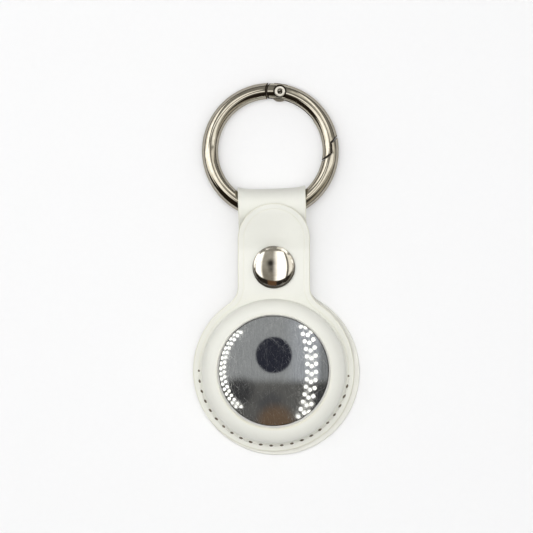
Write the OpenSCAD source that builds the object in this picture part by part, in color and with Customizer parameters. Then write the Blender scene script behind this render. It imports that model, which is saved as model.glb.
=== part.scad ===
// Leather key fob for a coin-shaped tracker tag, with a swinging spring-gate ring.
// The fob lies on its back. The origin is on the back face, under the middle of the
// tag pocket. +Z is up through the window and +Y runs along the neck to the ring.

/* [Tag] */
// Diameter of the tracker tag
tag_d = 31.7; // [30.5:0.1:33]
// Thickness of the tag, with its cover
tag_t = 8; // [7.6:0.1:9]
// Diameter of the polished battery cover
cover_d = 25.9; // [24.5:0.1:26.4]
// Wall of the tag's plastic shells
shell_wall = 1; // [0.8:0.05:1.2]
// Rounding of the tag's edge on the cover side
tag_top_round = 2.25; // [1.8:0.05:2.6]
// Rounding of the tag's edge on the crowned side
tag_bottom_round = 3.6; // [2.8:0.1:4]
// Rise of the crowned side between its edge and its middle
crown_rise = 1.45; // [1:0.05:1.9]
// Drop of the cover's edge below its middle
cover_crown = 0.35; // [0.05:0.01:0.5]
// Sheet thickness of the battery cover
cover_t = 0.4; // [0.3:0.02:0.5]
// Diameter of the coin cell
cell_d = 20; // [19:0.1:20.6]
// Thickness of the coin cell
cell_t = 3.2; // [2.8:0.05:3.3]

/* [Leather] */
// Thickness of the flat leather
leather_t = 0.9; // [0.7:0.05:1.2]
// Thickness of the lining on flat leather
lining_t = 0.3; // [0.2:0.02:0.4]
// Thickness of the leather where it is moulded round the tag
wall_leather_t = 0.6; // [0.45:0.02:0.8]
// Thickness of the lining where it is moulded round the tag
wall_lining_t = 0.2; // [0.14:0.02:0.3]
// Side clearance between the tag and the pocket
pocket_gap = 0.25; // [0.18:0.01:0.4]
// Distance that the tag sits above the middle of its pocket
tag_shift = 0.12; // [0.08:0.01:0.15]
// Diameter of the round window in the front
window_d = 26.5; // [26.1:0.1:28]
// Width of the flat rim between the moulded dome and the front panel's edge
front_margin = 2.1; // [1.8:0.05:2.8]
// Width of the flat rim of the back panel
back_margin = 2.6; // [2.2:0.05:3.4]
// Distance that the back disc sits below the front one
back_drop = 0.35; // [0.2:0.05:0.6]
// Turn of the back panel, strap and ring about the snap, in degrees
skew = 1.7; // [0:0.1:3]
// Width of the front flap's neck
neck_w = 16.9; // [15.5:0.1:19]
// Width of the back panel's neck and of the strap
strap_w = 15.9; // [14:0.1:17.6]
// Radius between the front disc and its neck
front_root_r = 4.9; // [3.5:0.1:6]
// Radius between the back disc and its neck
back_root_r = 5.6; // [4:0.1:7]
// Height of the joint line of the front above the tag's middle
hinge_y = 0.6; // [0.4:0.05:1]
// Gap between the stitched pocket and the flap
hinge_gap = 0.1; // [0.05:0.01:0.15]

/* [Stitching and crease] */
// Distance of the stitched crease from the front panel's edge
crease_inset = 1.35; // [1.1:0.05:1.6]
// Width of the pressed crease
crease_w = 0.3; // [0.2:0.02:0.4]
// Depth of the pressed crease
crease_depth = 0.15; // [0.1:0.01:0.2]
// Thickness of the sewing thread
thread_d = 0.5; // [0.35:0.05:0.6]
// Number of stitches round the pocket
stitch_count = 22; // [16:1:26]
// Free length between two stitches
stitch_hole = 0.9; // [0.6:0.05:1.2]

/* [Snap] */
// Clear distance between the dome and the snap's cap
snap_gap = 2.5; // [1.8:0.1:4]
// Diameter of the snap's cap
cap_d = 10; // [9:0.1:12]
// Height of the cap above the leather
cap_h = 1.7; // [1.4:0.05:2.2]
// Diameter of the socket under the flap
socket_d = 8.4; // [7.6:0.1:8.8]
// Height of the socket
socket_h = 2.15; // [2.1:0.05:2.6]
// Diameter of the stud's base
stud_d = 8.2; // [7.4:0.1:8.6]
// Thickness of the stud's base
stud_base_t = 0.5; // [0.35:0.05:0.6]
// Diameter of the stud's bulb
bulb_d = 3.5; // [3.1:0.05:3.7]
// Height of the stud above its base
bulb_h = 1.75; // [1.6:0.05:1.75]
// Diameter of the flange on the back
post_d = 7.6; // [7:0.1:8.2]
// Diameter of the post's tube
post_tube_d = 2.6; // [2.2:0.05:2.7]
// Diameter of the cap's tube
cap_tube_d = 3.2; // [2.8:0.05:3.5]

/* [Ring] */
// Inner diameter of the ring
ring_bore_d = 24.6; // [23.5:0.1:28]
// Thickness of the ring's wire
wire_d = 3.8; // [3.4:0.05:4.2]
// Distance from the snap to the axis on which the ring swings
loop_reach = 14.7; // [13.8:0.1:18]
// Free space between the ring and the strap's loop as it swings
loop_gap = 0.1; // [0.06:0.01:0.2]
// Place of the gate's pin, in degrees clockwise from the ring's far end
pin_angle = 10.8; // [8:0.1:14]
// Place of the outer end of the latch, in degrees
latch_start = 84.6; // [80:0.1:88]
// Place of the inner end of the latch, in degrees
latch_end = 94.7; // [92:0.1:100]
// Gap between the gate and the ring
gate_gap = 0.28; // [0.15:0.01:0.36]
// Thickness of the ring's tongue inside the gate
tongue_t = 1.4; // [1.1:0.05:1.6]
// Radius of the tongue's round end
knuckle_r = 2.35; // [2.1:0.05:2.45]
// Radius of the gate's round heel
heel_r = 3.1; // [2.8:0.05:3.4]
// Diameter of the gate's pin
pin_d = 1.5; // [1.2:0.05:1.7]
// Diameter of the pin's riveted heads
pin_head_d = 3; // [2.6:0.05:3.2]
// Thickness of the spring wire inside the gate
spring_wire_d = 0.5; // [0.4:0.02:0.6]
// Place of the end of the gate's spring channel, in degrees
channel_end = 57; // [50:0.5:64]

/* [Hidden] */
$fn = 96;

leather_colour = [0.93, 0.93, 0.89];
lining_colour = [0.82, 0.82, 0.79];
thread_colour = [0.9, 0.89, 0.84];
nickel_colour = [0.72, 0.7, 0.66];
steel_colour = [0.66, 0.67, 0.68];
plastic_colour = [0.95, 0.95, 0.94];
board_colour = [0.12, 0.3, 0.2];
copper_colour = [0.75, 0.45, 0.25];
magnet_colour = [0.35, 0.35, 0.37];

// One overrun serves every cut, and one running gap every pin and shell.
over = 1;
fit_gap = 0.03;
run_gap = 0.05;
// A line long enough to reach past the whole fob.
far = 4 * tag_d;
// Largest turn between two points of a bent sheet, in degrees.
bend_step = 9;

// Stack of layers, counted up from the back face.
tag_r = tag_d / 2;
cover_r = cover_d / 2;
cell_r = cell_d / 2;
layer_t = leather_t + lining_t;
tag_z = layer_t;
tag_top = tag_z + tag_t;
tag_rim = tag_top - cover_crown - run_gap;
// The rounding of the tag's edge stops short of the battery cover.
tag_fillet = min(tag_top_round, tag_r - cover_r - 2 * run_gap);
wall_t = wall_leather_t + wall_lining_t;
dome_top = tag_top + run_gap + wall_t;
dome_r = tag_r + pocket_gap + wall_t;
dome_round = tag_fillet + pocket_gap + wall_t;
front_r = dome_r + front_margin;
back_r = dome_r + back_margin;
dome_fillet = 0.5;

// Snap: its middle, and the heights that its pieces stack up to.
cap_r = cap_d / 2;
snap_y = dome_r + snap_gap + cap_r;
tail_top = layer_t + leather_t;
stud_top = tail_top + stud_base_t;
bulb_top = stud_top + bulb_h;
socket_z = stud_top + 3 * run_gap;
flap_z = socket_z + socket_h;
flap_top = flap_z + layer_t;
cap_tube_end = bulb_top + 2 * run_gap;
post_flange_t = 0.45;
tube_wall = 0.35;
socket_wall = 0.4;
socket_mouth_gap = 0.45;
spring_leg_gap = 0.3;
spring_leg_d = 0.4;
spring_leg_out = 2.3;
spring_leg_in = 0.9;
spring_room = 0.7;

// Ring, and the loop of the strap that it swings in. The loop's bore clears the
// part of the ring that lies between the strap's edges, whichever way it turns.
wire_r = wire_d / 2;
ring_in = ring_bore_d / 2;
ring_r = ring_in + wire_r;
ring_out = ring_in + wire_d;
chord_in = sqrt(pow(ring_in, 2) - pow(strap_w / 2, 2));
loop_bore_r = (ring_out - chord_in) / 2 + loop_gap;
loop_offset = (ring_out + chord_in) / 2;
loop_y = snap_y + loop_reach;
loop_z = leather_t + loop_bore_r;
loop_top = loop_z + loop_bore_r + leather_t;
floor_gap = 0.04;
ring_tilt = asin((loop_z - wire_r - floor_gap) / (loop_offset + ring_r));

// Side profile of the flap: low rim, ramp, level seat for the snap, rise to the loop.
tip_gap = 0.15;
tip_z = loop_top + tip_gap;
ramp_start = hinge_y + 2 * hinge_gap;
seat_start = snap_y - cap_r - tip_gap;
seat_end = snap_y + cap_r;
rise_end = loop_y - tip_gap;
neck_tip = loop_y + 2 * tip_gap;
ramp_bend_r = 10;
rise_bend_r = 5;

// Tail of the strap: down from the loop at an angle, then flat under the snap.
tail_angle = 45;
tail_bend_r = 2.2;
tail_reach = 5.2;
loop_mid_r = loop_bore_r + leather_t / 2;
tail_mid_z = layer_t + leather_t / 2;
tail_from = [loop_y - loop_mid_r * sin(tail_angle), loop_z + loop_mid_r * cos(tail_angle)];
tail_run = (tail_from[1] - tail_mid_z - tail_bend_r * (1 - cos(tail_angle))) / sin(tail_angle);
tail_to = tail_from - tail_run * [cos(tail_angle), sin(tail_angle)];
tail_bend = [tail_to[0] - tail_bend_r * sin(tail_angle), tail_mid_z + tail_bend_r];
tail_end = snap_y - tail_reach;

// Stitch line: from the left end of the hinge line round the bottom to the right.
stitch_r = front_r - crease_inset;
stitch_from = 180;
stitch_to = 356;
stitch_step = (stitch_to - stitch_from) / stitch_count;
stitch_length = stitch_r * stitch_step * PI / 180 - stitch_hole;
groove_r = thread_d / 2 + fit_gap;
stitch_z = 2 * layer_t - 0.3 * thread_d;
back_stitch_z = thread_d / 2 + fit_gap;

// Battery bay of the tag.
plate_z = tag_rim - cover_t;
ledge_t = 0.4;
tab_t = 0.35;
skirt_t = 0.35;
skirt_share = 0.7;
skirt_r = cell_r + skirt_share * (cover_r - cell_r);
tab_reach = 0.5;
tab_span = 18;
tab_play = 1;
twist = 25;
shell_split = tag_z + 0.55 * tag_t;
cell_top = plate_z - run_gap;
cell_z = cell_top - cell_t;
well_gap = 0.15;
contact_t = 0.35;
well_floor_t = 0.7;
well_z = cell_z - contact_t - well_floor_t;
well_r = cell_r + well_gap + shell_wall / 2;
board_t = 0.6;
board_rim_gap = 1.3;
magnet_r = 4.8;
coil_t = 0.6;
crown_r = (pow(tag_r, 2) + pow(crown_rise, 2)) / (2 * crown_rise);
// The crowned floor has risen this far at the coil's outer edge.
coil_in = magnet_r + 4 * run_gap;
floor_r = crown_r - shell_wall;
coil_seat = floor_r - sqrt(pow(floor_r, 2) - pow(coil_in + coil_t, 2)) + fit_gap;
// Magnet and coil fill shares of the room between the crowned floor and the well.
floor_room = well_z - tag_z - shell_wall - coil_seat;
magnet_share = 0.88;
coil_share = 0.7;
board_z = well_z - board_t - fit_gap;
board_r = tag_r - shell_wall - board_rim_gap;

// Gate: its pin and the two arcs about the pin that shape the latch.
pin_r = pin_d / 2;
pin_head_r = pin_head_d / 2;
pin_at = ring_r * [sin(pin_angle), cos(pin_angle)];
latch_outer_r = norm(ring_r * [sin(latch_start), cos(latch_start)] - pin_at);
latch_inner_r = norm(ring_r * [sin(latch_end), cos(latch_end)] - pin_at);
head_seat_z = 1.25;
tongue_half_w = 1.2;
tongue_sweep = 18;
channel_depth = 1.6;
spring_play = 1;
spring_end = channel_end - spring_play;
spring_inset = channel_depth - spring_wire_d / 2 - run_gap;

// Points along an arc, and a list of points in the opposite order
function arc_points(at, r, from, to) =
    let(steps = ceil(abs(to - from) / bend_step))
    [for (i = [0 : steps]) let(a = from + (to - from) * i / steps) at + r * [cos(a), sin(a)]];

function reversed(points) = [for (i = [len(points) - 1 : -1 : 0]) points[i]];

// Plan shapes

module sector(r_in, r_out, from, to) {
    middle = (from + to) / 2;
    intersection() {
        difference() {
            circle(r_out);
            circle(r_in);
        }
        polygon([
            [0, 0],
            far * [cos(from), sin(from)],
            far * [cos((from + middle) / 2), sin((from + middle) / 2)],
            far * [cos(middle), sin(middle)],
            far * [cos((middle + to) / 2), sin((middle + to) / 2)],
            far * [cos(to), sin(to)]
        ]);
    }
}

// Disc, neck and the curve between them. Its neck ends square at the height neck_y.
module disc_and_neck(r, w, neck_y, root_r) {
    root = [w / 2 + root_r, sqrt(pow(r + root_r, 2) - pow(w / 2 + root_r, 2))];
    circle(r);
    translate([-w / 2, 0]) square([w, neck_y]);
    for (side = [0, 1]) mirror([side, 0]) difference() {
        polygon([[0, 0], root, [0, root[1]]]);
        translate(root) circle(root_r);
    }
}

// Keyhole outline of the front panel, drawn in by an inset all round.
module front_outline(inset = 0) {
    w = neck_w - 2 * inset;
    disc_and_neck(front_r - inset, w, neck_tip - inset - w / 2, front_root_r + inset);
    translate([0, neck_tip - inset - w / 2]) circle(w / 2);
}

module back_outline(neck_y) {
    translate([0, -back_drop])
        disc_and_neck(back_r, strap_w, neck_y + back_drop, back_root_r);
}

// Frames of the pieces that lie askew, and of the ring

module back_frame() {
    translate([0, snap_y]) rotate(skew) translate([0, -snap_y]) children();
}

module ring_frame() {
    back_frame() translate([0, loop_y, loop_z]) rotate([-ring_tilt, 0, 0])
        translate([0, loop_offset]) children();
}

module snap_frame() {
    translate([0, snap_y]) children();
}

module tag_frame() {
    translate([0, tag_shift]) children();
}

// A side profile, with its first axis along Y and its second up, spread along X.
module across(w) {
    rotate([90, 0, 90]) linear_extrude(w, center = true) children();
}

// Layers of the front

// Step of a sheet from one height to another: two bends and the slope between them.
function step_curve(from, to, bend_r, h) =
    let(run = to[0] - from[0])
    let(drop = 2 * bend_r - (to[1] - from[1]))
    let(angle = asin(2 * bend_r / norm([run, drop])) - atan(drop / run))
    concat(
        arc_points([from[0], from[1] + bend_r], bend_r - h, 270, 270 + angle),
        arc_points([to[0], to[1] - bend_r], bend_r + h, 90 + angle, 90)
    );

function ramp_curve(h) = concat(
    [[hinge_y - over, layer_t + h]],
    step_curve([ramp_start, layer_t], [seat_start, flap_z], ramp_bend_r, h)
);

function flap_curve(h) = concat(
    ramp_curve(h),
    step_curve([seat_end, flap_z], [rise_end, tip_z], rise_bend_r, h),
    [[neck_tip + over, tip_z + h]]
);

// Side profile of one layer of the flap, between two heights above its underside.
module flap_profile(low, high) {
    polygon(concat(flap_curve(low), reversed(flap_curve(high))));
}

// The space below a layer, where the dome sinks into the sheet.
module ramp_underside(low) {
    polygon(concat(ramp_curve(low), [[seat_end, flap_z + low], [seat_end, 0], [hinge_y - over, 0]]));
}

// Section of the moulded dome, drawn in by a wall thickness.
module dome_section(inset) {
    round_at = [dome_r - dome_round, dome_top - dome_round];
    translate([0, layer_t - over]) square([dome_r - inset, round_at[1] - layer_t + over]);
    square([round_at[0], dome_top - inset]);
    translate(round_at) intersection() {
        circle(dome_round - inset);
        square(dome_round);
    }
}

module dome_shell(outer, inner) {
    difference() {
        rotate_extrude() dome_section(outer);
        rotate_extrude() dome_section(inner);
        translate([0, 0, layer_t - 2 * over]) cylinder(h = dome_top + over, d = window_d);
    }
}

// Half-space below the hinge line, or above it.
module lower_half() {
    intersection() {
        children();
        translate([-far, hinge_y - hinge_gap - far, -far]) cube([2 * far, far, 2 * far]);
    }
}

module upper_half() {
    intersection() {
        children();
        translate([-far, hinge_y, -far]) cube([2 * far, far, 2 * far]);
    }
}

module above(z) {
    intersection() {
        children();
        translate([-far, -far, z]) cube([2 * far, 2 * far, far]);
    }
}

module flap_layer(low, high, dome_outer, dome_inner) {
    upper_half() {
        difference() {
            intersection() {
                across(2 * front_r) flap_profile(low, high);
                linear_extrude(far) front_outline();
            }
            rotate_extrude() dome_section((dome_outer + dome_inner) / 2);
        }
        difference() {
            above(layer_t + low) dome_shell(dome_outer, dome_inner);
            across(2 * front_r) ramp_underside(low);
        }
    }
}

// Leather and lining

module back_panel() {
    color(leather_colour) back_frame() difference() {
        union() {
            linear_extrude(leather_t) back_outline(loop_y - over / 2);
            across(strap_w) strap_loop_profile();
            translate([0, 0, layer_t]) linear_extrude(leather_t) tail_outline();
        }
        snap_frame() {
            translate([0, 0, -over]) cylinder(h = tail_top + 2 * over, d = post_tube_d + 2 * fit_gap);
            translate([0, 0, -over]) cylinder(h = over + post_flange_t, d = post_d + 2 * fit_gap);
        }
        back_groove();
    }
}

// One side of the strap, seen from the side: along the neck, round the ring and down
// the tail. The distance is measured outwards from the middle of the leather.
function strap_curve(d) = concat(
    [[loop_y - over, leather_t / 2 - d]],
    arc_points([loop_y, loop_z], loop_mid_r + d, -90, 90 + tail_angle),
    arc_points(tail_bend, tail_bend_r - d, 270 + tail_angle, 270),
    [[tail_bend[0] - over, tail_mid_z + d]]
);

module strap_loop_profile() {
    polygon(concat(strap_curve(leather_t / 2), reversed(strap_curve(-leather_t / 2))));
}

module tail_outline() {
    round_y = tail_end + strap_w / 2;
    intersection() {
        union() {
            translate([0, round_y]) circle(strap_w / 2);
            translate([-strap_w / 2, round_y]) square([strap_w, far]);
        }
        translate([-strap_w / 2, 0]) square([strap_w, tail_bend[0] - over / 2]);
    }
}

// Groove of the back stitches. The stitch line is the front panel's, so the groove
// leaves the back panel's frame.
module back_groove() {
    translate([0, snap_y]) rotate(-skew) translate([0, -snap_y])
        rotate([0, 0, stitch_from]) rotate_extrude(angle = stitch_to - stitch_from)
            translate([stitch_r, back_stitch_z]) {
                circle(groove_r, $fn = 24);
                translate([-groove_r, -over]) square([2 * groove_r, over]);
            }
}

module back_lining() {
    color(lining_colour) back_frame() translate([0, 0, leather_t]) difference() {
        linear_extrude(lining_t) back_outline(tail_bend[0]);
        snap_frame() translate([0, 0, -over]) cylinder(h = 2 * over, d = post_tube_d + 2 * fit_gap);
    }
}

module front_pocket() {
    color(leather_colour) lower_half() difference() {
        union() {
            translate([0, 0, layer_t + lining_t]) linear_extrude(leather_t) difference() {
                circle(front_r);
                circle(dome_r - wall_leather_t / 2);
            }
            above(layer_t + lining_t) dome_shell(0, wall_leather_t);
            rotate_extrude() translate([dome_r, 2 * layer_t]) difference() {
                translate([-wall_leather_t / 2, 0]) square([dome_fillet + wall_leather_t / 2, dome_fillet]);
                translate([dome_fillet, dome_fillet]) circle(dome_fillet);
            }
        }
        translate([0, 0, stitch_z]) rotate_extrude() translate([stitch_r, 0]) {
            circle(groove_r, $fn = 24);
            translate([-groove_r, 0]) square([2 * groove_r, over]);
        }
    }
}

module pocket_lining() {
    color(lining_colour) lower_half() {
        translate([0, 0, layer_t]) linear_extrude(lining_t) difference() {
            circle(front_r);
            circle(dome_r - wall_leather_t - wall_lining_t / 2);
        }
        above(layer_t) dome_shell(wall_leather_t, wall_t);
    }
}

module front_flap() {
    color(leather_colour) difference() {
        flap_layer(lining_t, layer_t, 0, wall_leather_t);
        snap_frame() cylinder(h = far, d = cap_tube_d + 2 * fit_gap);
        intersection() {
            across(2 * front_r) flap_profile(layer_t - crease_depth, layer_t + over);
            linear_extrude(far) difference() {
                front_outline(crease_inset - crease_w / 2);
                front_outline(crease_inset + crease_w / 2);
            }
        }
    }
}

module flap_lining() {
    color(lining_colour) difference() {
        flap_layer(0, lining_t, wall_leather_t, wall_t);
        snap_frame() cylinder(h = far, d = cap_tube_d + 2 * fit_gap);
    }
}

// One thread between two holes: a short bar with round ends.
module stitch() {
    bar = stitch_length - thread_d;
    rotate([90, 0, 0]) cylinder(h = bar, d = thread_d, center = true, $fn = 24);
    for (side = [-1, 1]) translate([0, side * bar / 2]) sphere(d = thread_d, $fn = 24);
}

module stitch_row(z) {
    for (i = [0 : stitch_count - 1])
        rotate([0, 0, stitch_from + (i + 0.5) * stitch_step]) translate([stitch_r, 0, z]) stitch();
}

module stitches_front() {
    color(thread_colour) stitch_row(stitch_z);
}

module stitches_back() {
    color(thread_colour) stitch_row(back_stitch_z);
}

// Snap fastener

module snap_cap() {
    dome_rise = cap_h - 0.35 * cap_h;
    skirt_h = cap_h - dome_rise;
    dome_arc = (pow(cap_r, 2) + pow(dome_rise, 2)) / (2 * dome_rise);
    color(nickel_colour) snap_frame() translate([0, 0, flap_top + fit_gap]) {
        rotate_extrude() intersection() {
            translate([0, cap_h - dome_arc]) circle(dome_arc, $fn = 180);
            union() {
                square([cap_r - skirt_h / 2, cap_h]);
                translate([cap_r - skirt_h / 2, skirt_h / 2]) circle(skirt_h / 2);
                translate([0, skirt_h / 2]) square([cap_r, cap_h]);
            }
        }
        translate([0, 0, cap_tube_end - flap_top])
            cylinder(h = flap_top - cap_tube_end + tube_wall, d = cap_tube_d);
    }
}

module snap_socket() {
    color(nickel_colour) snap_frame() translate([0, 0, socket_z]) difference() {
        cylinder(h = socket_h - fit_gap, d = socket_d);
        translate([0, 0, -over])
            cylinder(h = over + socket_h - socket_wall, d = bulb_d + 2 * socket_mouth_gap);
        translate([0, 0, socket_wall]) cylinder(h = spring_room, d = socket_d - 4 * socket_wall);
        cylinder(h = far, d = cap_tube_d + 2 * fit_gap);
    }
}

// Wire that grips the stud: two straight legs in the socket's groove, joined at one end.
module snap_spring() {
    leg_x = bulb_d / 2 + spring_leg_gap;
    color(steel_colour) snap_frame()
        translate([0, spring_leg_in, socket_z + socket_wall + spring_room / 2]) {
            for (side = [-1, 1]) translate([side * leg_x, 0]) rotate([90, 0, 0])
                cylinder(h = spring_leg_in + spring_leg_out, d = spring_leg_d, $fn = 24);
            rotate_extrude(angle = 180) translate([leg_x, 0]) circle(d = spring_leg_d, $fn = 24);
        }
}

module snap_stud() {
    neck_h = 0.45 * bulb_h;
    color(nickel_colour) back_frame() snap_frame() translate([0, 0, tail_top]) difference() {
        union() {
            cylinder(h = stud_base_t, d = stud_d);
            cylinder(h = stud_base_t + neck_h + tube_wall, d = bulb_d - 2 * tube_wall);
            translate([0, 0, stud_base_t + neck_h]) cylinder(h = bulb_h - neck_h - tube_wall, d = bulb_d);
            translate([0, 0, stud_base_t + bulb_h - tube_wall])
                cylinder(h = tube_wall, d1 = bulb_d, d2 = bulb_d - 2 * tube_wall);
        }
        translate([0, 0, -over])
            cylinder(h = over + stud_base_t + bulb_h / 2, d = post_tube_d + 2 * fit_gap);
    }
}

module snap_post() {
    flange_r = (post_d - post_flange_t) / 2;
    color(nickel_colour) back_frame() snap_frame() {
        rotate_extrude() {
            square([flange_r, post_flange_t]);
            translate([flange_r, post_flange_t / 2]) circle(post_flange_t / 2, $fn = 24);
        }
        difference() {
            cylinder(h = stud_top + bulb_h / 2 - fit_gap, d = post_tube_d);
            translate([0, 0, post_flange_t]) cylinder(h = far, d = post_tube_d - 2 * tube_wall);
        }
    }
}

// Spring-gate ring. In its own frame it is centred on the origin, with its far end
// at +Y, and angles run clockwise from there.

module ring_wire() {
    rotate_extrude($fn = 180) translate([ring_r, 0]) circle(wire_r);
}

module gate_zone(grow = 0) {
    intersection() {
        union() {
            translate(pin_at) circle(latch_outer_r + grow);
            intersection() {
                translate(pin_at) circle(latch_inner_r + grow);
                circle(ring_r + grow);
            }
        }
        rotate(-pin_angle) translate([0, -far / 2]) square(far);
    }
    translate(pin_at) circle(heel_r + grow);
}

// The knuckle swells inwards only: on the outside it stops at the ring's edge.
module tongue_outline() {
    tongue_from = 90 - pin_angle;
    difference() {
        union() {
            intersection() {
                translate(pin_at) circle(knuckle_r);
                circle(ring_out - run_gap);
            }
            sector(ring_r - tongue_half_w, ring_r + tongue_half_w, tongue_from, tongue_from + tongue_sweep);
        }
        translate(pin_at) circle(pin_r + fit_gap);
    }
}

module ring_body() {
    color(nickel_colour) ring_frame() {
        difference() {
            ring_wire();
            linear_extrude(far, center = true) gate_zone(gate_gap);
        }
        linear_extrude(tongue_t, center = true) tongue_outline();
    }
}

module ring_gate() {
    slot_t = tongue_t + 4 * run_gap;
    color(nickel_colour) ring_frame() difference() {
        intersection() {
            ring_wire();
            linear_extrude(far, center = true) gate_zone();
        }
        linear_extrude(slot_t, center = true) {
            translate(pin_at) circle(knuckle_r + 3 * run_gap);
            rotate(-pin_angle) translate([-far, 0]) square(far);
        }
        linear_extrude(slot_t, center = true)
            sector(ring_in - over, ring_in + channel_depth, 90 - channel_end, 90 - pin_angle);
        translate(pin_at) {
            cylinder(h = far, r = pin_r + run_gap, center = true);
            for (side = [0, 1]) mirror([0, 0, side])
                translate([0, 0, head_seat_z]) cylinder(h = far, r = pin_head_r + run_gap);
        }
    }
}

module gate_pin() {
    head_z = head_seat_z + run_gap;
    head_h = wire_r + run_gap - head_z;
    dimple_r = pin_r;
    color(nickel_colour) ring_frame() translate(pin_at) difference() {
        union() {
            cylinder(h = 2 * head_z + head_h, r = pin_r, center = true);
            for (side = [0, 1]) mirror([0, 0, side]) translate([0, 0, head_z]) {
                cylinder(h = head_h / 2, r = pin_head_r);
                translate([0, 0, head_h / 2])
                    cylinder(h = head_h / 2, r1 = pin_head_r, r2 = pin_head_r - head_h / 2);
            }
        }
        for (side = [0, 1]) mirror([0, 0, side]) translate([0, 0, head_z + head_h + dimple_r / 2])
            sphere(dimple_r);
    }
}

module gate_spring() {
    arc_r = ring_in + spring_inset;
    reach = knuckle_r + spring_wire_d / 2 + 2 * run_gap;
    start = pin_angle + acos((pow(arc_r, 2) + pow(ring_r, 2) - pow(reach, 2)) / (2 * arc_r * ring_r));
    color(steel_colour) ring_frame() rotate(90 - spring_end)
        rotate_extrude(angle = spring_end - start) translate([arc_r, 0]) circle(d = spring_wire_d, $fn = 24);
}

// Tracker tag

// Outline of the tag's two shells together, drawn in by a wall thickness.
module tag_section(inset) {
    fillet = max(tag_fillet - inset, run_gap);
    top_at = [tag_r - inset - fillet, tag_rim - inset - fillet];
    bottom_at = [tag_r - tag_bottom_round, tag_z + crown_rise / 3 + tag_bottom_round];
    intersection() {
        union() {
            translate([0, bottom_at[1]]) square([tag_r - inset, top_at[1] - bottom_at[1]]);
            translate([0, bottom_at[1] - tag_bottom_round + inset])
                square([bottom_at[0], tag_rim - inset - bottom_at[1] + tag_bottom_round - inset]);
            translate([0, tag_z + inset]) square([bottom_at[0], tag_bottom_round]);
            translate(top_at) circle(fillet);
            translate([0, top_at[1]]) square([top_at[0], fillet]);
            translate(bottom_at) intersection() {
                circle(tag_bottom_round - inset);
                translate([0, -tag_bottom_round]) square(tag_bottom_round);
            }
        }
        translate([0, tag_z + crown_r]) circle(crown_r - inset, $fn = 360);
        square(far);
    }
}

module tag_shell() {
    color(plastic_colour) tag_frame() difference() {
        rotate_extrude() tag_section(0);
        rotate_extrude() tag_section(shell_wall);
        translate([0, 0, shell_split]) cylinder(h = far, r = far);
    }
}

module tag_body() {
    ledge_z = plate_z - ledge_t;
    groove_z = ledge_z - tab_t - 3 * run_gap;
    ledge_r = skirt_r + run_gap;
    slot_out = skirt_r + tab_reach + run_gap;
    color(plastic_colour) tag_frame() difference() {
        union() {
            difference() {
                rotate_extrude() tag_section(0);
                translate([0, 0, shell_split - far]) cylinder(h = far, r = far);
                translate([0, 0, shell_split - over])
                    cylinder(h = groove_z - shell_wall - shell_split + over, r = tag_r - shell_wall);
            }
            translate([0, 0, well_z]) cylinder(h = plate_z - well_z, r = well_r);
        }
        translate([0, 0, plate_z]) cylinder(h = far, r = cover_r + run_gap);
        translate([0, 0, groove_z]) {
            cylinder(h = far, r = ledge_r);
            cylinder(h = ledge_z - groove_z, r = slot_out + run_gap);
        }
        translate([0, 0, well_z + well_floor_t]) cylinder(h = far, r = cell_r + well_gap);
        for (i = [0 : 2]) rotate(120 * i + twist) translate([0, 0, ledge_z - run_gap])
            linear_extrude(far) sector(skirt_r, slot_out, -tab_span / 2 - tab_play, tab_span / 2 + tab_play);
    }
}

// Domed sheet with a skirt and three bayonet tabs.
module battery_cover() {
    cover_arc = (pow(cover_r, 2) + pow(cover_crown, 2)) / (2 * cover_crown);
    skirt_z = plate_z - ledge_t - tab_t - run_gap - fit_gap;
    color(steel_colour) tag_frame() {
        rotate_extrude() intersection() {
            translate([0, plate_z]) square([cover_r - run_gap, far]);
            translate([0, tag_top - cover_arc]) difference() {
                circle(cover_arc, $fn = 720);
                circle(cover_arc - cover_t, $fn = 720);
            }
        }
        translate([0, 0, skirt_z]) difference() {
            cylinder(h = plate_z + cover_t / 2 - skirt_z, r = skirt_r);
            translate([0, 0, -over]) cylinder(h = far, r = skirt_r - skirt_t);
        }
        for (i = [0 : 2]) rotate(120 * i) translate([0, 0, skirt_z + fit_gap])
            linear_extrude(tab_t)
                sector(skirt_r - skirt_t / 2, skirt_r + tab_reach, -tab_span / 2, tab_span / 2);
    }
}

module coin_cell() {
    rim_t = 0.5;
    can_h = 0.8 * cell_t;
    color(steel_colour) tag_frame() translate([0, 0, cell_z]) rotate_extrude() {
        square([cell_r - 2 * rim_t, cell_t]);
        translate([0, cell_t - can_h]) square([cell_r - rim_t, can_h]);
        translate([0, cell_t - can_h]) square([cell_r, can_h - rim_t]);
        translate([cell_r - rim_t, cell_t - rim_t]) circle(rim_t, $fn = 32);
    }
}

// Flat ring under the battery well, round the magnet and its coil.
module circuit_board() {
    color(board_colour) tag_frame() intersection() {
        translate([0, 0, board_z]) linear_extrude(board_t) difference() {
            circle(board_r);
            circle(coil_in + coil_t + 2 * run_gap);
        }
        rotate_extrude() tag_section(shell_wall + run_gap);
    }
}

module speaker_magnet() {
    magnet_h = magnet_share * floor_room;
    color(magnet_colour) tag_frame() translate([0, 0, well_z - magnet_h])
        cylinder(h = magnet_h, r = magnet_r);
}

module voice_coil() {
    color(copper_colour) tag_frame() translate([0, 0, tag_z + shell_wall + coil_seat])
        linear_extrude(coil_share * floor_room) difference() {
            circle(coil_in + coil_t);
            circle(coil_in);
        }
}

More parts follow.
